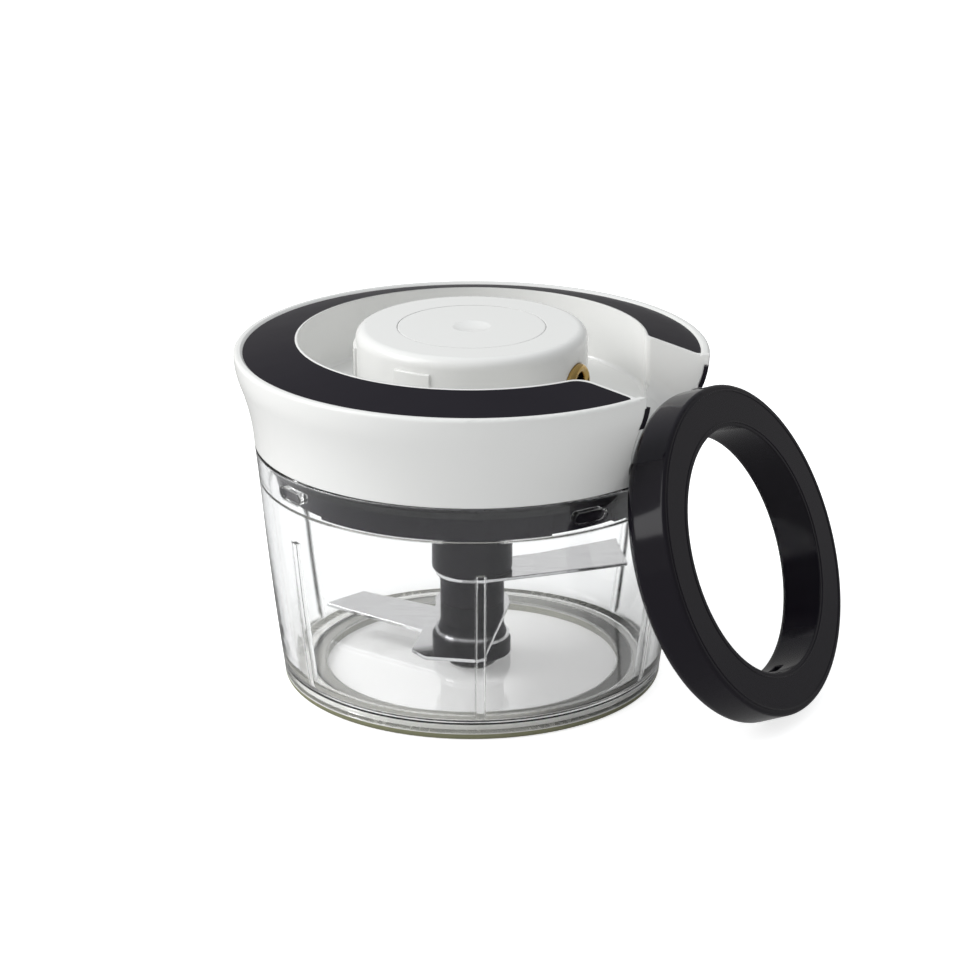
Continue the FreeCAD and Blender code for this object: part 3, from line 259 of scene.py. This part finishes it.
def metal(name, colour, low, high, scale=METAL_SCALE, stretch=(1, 1, 1), edge=0.0):
    """Metal with a fine texture of this scale, drawn out where stretch isn't 1."""
    material, tree, shader = new_material(name)
    set_inputs(shader, Metallic=1.0)
    place = tree.nodes.new("ShaderNodeTexCoord")
    mapping = add_node(tree, "ShaderNodeMapping", Scale=stretch)
    noise = add_node(tree, "ShaderNodeTexNoise", Scale=scale, Detail=METAL_DETAIL)
    tree.links.new(place.outputs["Object"], mapping.inputs["Vector"])
    tree.links.new(mapping.outputs["Vector"], noise.inputs["Vector"])
    texture = noise.outputs["Fac"]
    darker = tuple(METAL_DARKER * part for part in colour)
    tree.links.new(two_colours(tree, texture, darker, colour), shader.inputs["Base Color"])
    tree.links.new(spread(tree, texture, low, high), shader.inputs["Roughness"])
    add_bump(tree, shader, texture, METAL_GRAIN, edge)
    return material


# Each has its colours and then its lowest and highest roughness
MATERIALS = {
    "lid_white": moulded_plastic(
        "lid_white", (0.865, 0.863, 0.845), (0.875, 0.873, 0.857), 0.18, 0.24, edge=0.6 * MM),
    "clear_bowl": clear_plastic("clear_bowl"),
    "dark_matt": moulded_plastic(
        "dark_matt", (0.012, 0.010, 0.0155), (0.014, 0.012, 0.0175), 0.36, 0.44, shine=0.1, grain=0.04),
    "ring_black": moulded_plastic(
        "ring_black", (0.010, 0.0085, 0.0125), (0.011, 0.0095, 0.0135), 0.08, 0.12,
        shine=0.25, grain=0.04, edge=0.8 * MM),
    "eyelet_brass": metal("eyelet_brass", (0.6, 0.4, 0.14), 0.12, 0.22),
    "blade_steel": metal(
        "blade_steel", (0.62, 0.62, 0.63), 0.05, 0.1, scale=120.0, stretch=(1, 8, 1), edge=0.5 * MM),
    "pin_steel": metal("pin_steel", (0.66, 0.67, 0.68), 0.2, 0.3, scale=120.0, stretch=(1, 1, 14)),
    "spring_steel": metal("spring_steel", (0.45, 0.47, 0.52), 0.25, 0.35),
    "screw_steel": metal("screw_steel", (0.62, 0.63, 0.64), 0.25, 0.4),
    # Base ring: olive foot partly painted contact shade, pale top painted light
    "foot_rubber": foot_rubber("foot_rubber", (0.24, 0.24, 0.15), (0.85, 0.85, 0.82), 0.5, 0.62),
    "seal_rubber": moulded_plastic(
        "seal_rubber", (0.014, 0.013, 0.016), (0.018, 0.017, 0.02), 0.5, 0.6, shine=0.3),
    "inner_nylon": moulded_plastic("inner_nylon", (0.72, 0.71, 0.66), (0.76, 0.75, 0.70), 0.35, 0.45),
    "drive_nylon": moulded_plastic("drive_nylon", (0.03, 0.03, 0.033), (0.035, 0.035, 0.038), 0.35, 0.45),
    "bush_bronze": metal("bush_bronze", (0.6, 0.42, 0.2), 0.3, 0.4),
}

for row in frame["record"]["subparts"]:
    node = nodes[row["node"]]
    node.data.materials.clear()
    node.data.materials.append(MATERIALS[row["material_slot"]])


# New pieces

# The pads round the turret: their middles and half their width in degrees, and how far they stand out
TURRET_R = 38.7 * MM
GROOVE_Z = 98.0 * MM
PAD_TURNS = (-120.0, 180.0, 120.0, 60.0)
PAD_HALF_WIDTH = 10.0
PAD_TOP = 116.4 * MM
PAD_PROUD = 0.8 * MM
PAD_STEPS = 12

# How far the pads reach into the turret's wall and the groove's floor, and the rounding of their edges
PAD_IN_WALL = 0.4 * MM
PAD_IN_FLOOR = 0.3 * MM
PAD_ROUNDING = 0.3 * MM
PAD_ROUNDING_STEPS = 3

# The ring handle's face: its middle, its direction, and the two seams of its cover
FACE_CENTRE = Vector((93.54, -36.97, 56.65)) * MM
FACE_AXIS = Vector((0.8096, -0.4506, 0.3762)).normalized()
SEAM_RADII = (42.85 * MM, 53.5 * MM)
BEAD_R = 0.38 * MM
BEAD_SUNK = 0.1 * MM
BEAD_LOOPS = 144
BEAD_SIDES = 10


def join_rows(work, first, second):
    """Faces between two closed rows of points."""
    for corner in range(len(first)):
        after = (corner + 1) % len(first)
        work.faces.new((first[corner], second[corner], second[after], first[after]))


def finished_mesh(work, name, smooth):
    bmesh.ops.recalc_face_normals(work, faces=work.faces)
    for face in work.faces:
        face.smooth = smooth
    mesh = bpy.data.meshes.new(name)
    work.to_mesh(mesh)
    work.free()
    return mesh


def add_piece(name, mesh, body, slot):
    piece = bpy.data.objects.new(name, mesh)
    bpy.context.scene.collection.objects.link(piece)
    piece.data.materials.append(MATERIALS[slot])
    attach(piece, body)
    return piece


def make_turret_pads():
    """Shallow upright pads round the turret, which centre the ring when it is put away."""
    work = bmesh.new()
    low = Vector((0, 0, GROOVE_Z - PAD_IN_FLOOR))
    high = Vector((0, 0, PAD_TOP))
    for turn in PAD_TURNS:
        rows = []
        for step in range(PAD_STEPS + 1):
            angle = math.radians(turn + PAD_HALF_WIDTH * (2 * step / PAD_STEPS - 1))
            side = Vector((math.cos(angle), math.sin(angle), 0))
            inner = side * (TURRET_R - PAD_IN_WALL)
            outer = side * (TURRET_R + PAD_PROUD)
            corners = (inner + low, outer + low, outer + high, inner + high)
            rows.append([work.verts.new(corner) for corner in corners])
        for first, second in zip(rows, rows[1:]):
            join_rows(work, first, second)
        work.faces.new(rows[0])
        work.faces.new(reversed(rows[-1]))
    pads = add_piece("turret_pads", finished_mesh(work, "turret_pads", smooth=False), "lid", "lid_white")
    rounding = pads.modifiers.new("rounding", "BEVEL")
    rounding.width = PAD_ROUNDING
    rounding.segments = PAD_ROUNDING_STEPS
    rounding.limit_method = "ANGLE"


def make_cover_beads():
    """A fine raised bead along each seam of the ring handle's cover."""
    work = bmesh.new()
    across = FACE_AXIS.orthogonal().normalized()
    up = FACE_AXIS.cross(across)
    turns = [2 * math.pi * part / BEAD_SIDES for part in range(BEAD_SIDES)]
    for seam_r in SEAM_RADII:
        loops = []
        for step in range(BEAD_LOOPS):
            angle = 2 * math.pi * step / BEAD_LOOPS
            side = across * math.cos(angle) + up * math.sin(angle)
            middle = FACE_CENTRE + side * seam_r - FACE_AXIS * BEAD_SUNK
            reach = [side * math.cos(turn) + FACE_AXIS * math.sin(turn) for turn in turns]
            loops.append([work.verts.new(middle + way * BEAD_R) for way in reach])
        for first, second in zip(loops, loops[1:] + loops[:1]):
            join_rows(work, first, second)
    add_piece("cover_beads", finished_mesh(work, "cover_beads", smooth=True), "handle", "ring_black")


make_turret_pads()
make_cover_beads()


# Stage

def make_stage():
    """A pale floor, as white to the eye as the backdrop, which still takes the object's shadow."""
    mesh = bpy.data.meshes.new("floor")
    corners = [(x * FLOOR_HALF, y * FLOOR_HALF, 0) for x, y in ((-1, -1), (1, -1), (1, 1), (-1, 1))]
    mesh.from_pydata(corners, [], [(0, 1, 2, 3)])
    floor = bpy.data.objects.new("floor", mesh)
    bpy.context.scene.collection.objects.link(floor)
    material, tree, shader = new_material("floor")
    set_inputs(shader, Roughness=FLOOR_ROUGHNESS, Specular_IOR_Level=0.0, Emission_Color=WHITE)
    behind_glass = any_ray(tree, "Is Transmission Ray")
    mirrored = calculate(tree, "SUBTRACT", any_ray(tree, "Is Glossy Ray"), behind_glass, clamped=True)
    tree.links.new(spread(tree, mirrored, FLOOR_COLOUR, 0.0), shader.inputs["Base Color"])
    glow = spread(tree, any_ray(tree, "Is Camera Ray"), 0.0, FLOOR_GLOW)
    for seen, level in ((behind_glass, FLOOR_GLOW_BEHIND_GLASS), (mirrored, FLOOR_SHEEN)):
        glow = calculate(tree, "MAXIMUM", glow, spread(tree, seen, 0.0, level))
    tree.links.new(glow, shader.inputs["Emission Strength"])
    floor.data.materials.append(material)


def make_world():
    """White to the eye and behind glass, and dimmer as a light, most of all from the front right."""
    world = bpy.data.worlds.new("studio")
    bpy.context.scene.world = world
    world.use_nodes = True
    tree = world.node_tree
    light = tree.nodes["Background"]
    place = tree.nodes.new("ShaderNodeTexCoord")
    side = add_node(tree, "ShaderNodeVectorMath", operation="DOT_PRODUCT")
    side.inputs[1].default_value = ROOM_BRIGHT_SIDE
    tree.links.new(place.outputs["Generated"], side.inputs[0])
    along = side.outputs["Value"]
    front = spread(tree, along, ROOM_FRONT, 1.0, ROOM_DIM_BELOW, ROOM_BRIGHT_ABOVE, easing="SMOOTHSTEP")
    sheen = spread(tree, any_ray(tree, "Is Glossy Ray"), ROOM_LEVEL, ROOM_SHEEN)
    tree.links.new(calculate(tree, "MULTIPLY", front, sheen), light.inputs["Strength"])
    colour = two_colours(tree, height_in(tree, "Generated"), ROOM_LOW_COLOUR, ROOM_HIGH_COLOUR)
    tree.links.new(colour, light.inputs["Color"])
    backdrop = add_node(tree, "ShaderNodeBackground", Color=WHITE)
    seen = any_ray(tree, "Is Camera Ray", "Is Transmission Ray")
    choose_shader(tree, seen, light, backdrop, "World Output")


def make_camera():
    data = bpy.data.cameras.new("camera")
    data.sensor_width = CAMERA_SENSOR
    data.lens = CAMERA_LENS
    data.clip_start = CAMERA_NEAR
    data.clip_end = CAMERA_FAR
    camera = bpy.data.objects.new("camera", data)
    camera.location = CAMERA_PLACE
    camera.rotation_euler = (math.radians(CAMERA_TILT), 0, 0)
    bpy.context.scene.collection.objects.link(camera)
    bpy.context.scene.camera = camera


def soft_light(name, place, target, size, power):
    data = bpy.data.lights.new(name, "AREA")
    data.shape = "RECTANGLE"
    data.size, data.size_y = size
    data.energy = power
    lamp = bpy.data.objects.new(name, data)
    lamp.location = place
    lamp.rotation_euler = (Vector(target) - Vector(place)).to_track_quat("-Z", "Y").to_euler()
    bpy.context.scene.collection.objects.link(lamp)


make_stage()
make_world()
make_camera()
for name, lamp in LAMPS.items():
    soft_light(name, **lamp)

bpy.context.scene.view_settings.view_transform = "Standard"
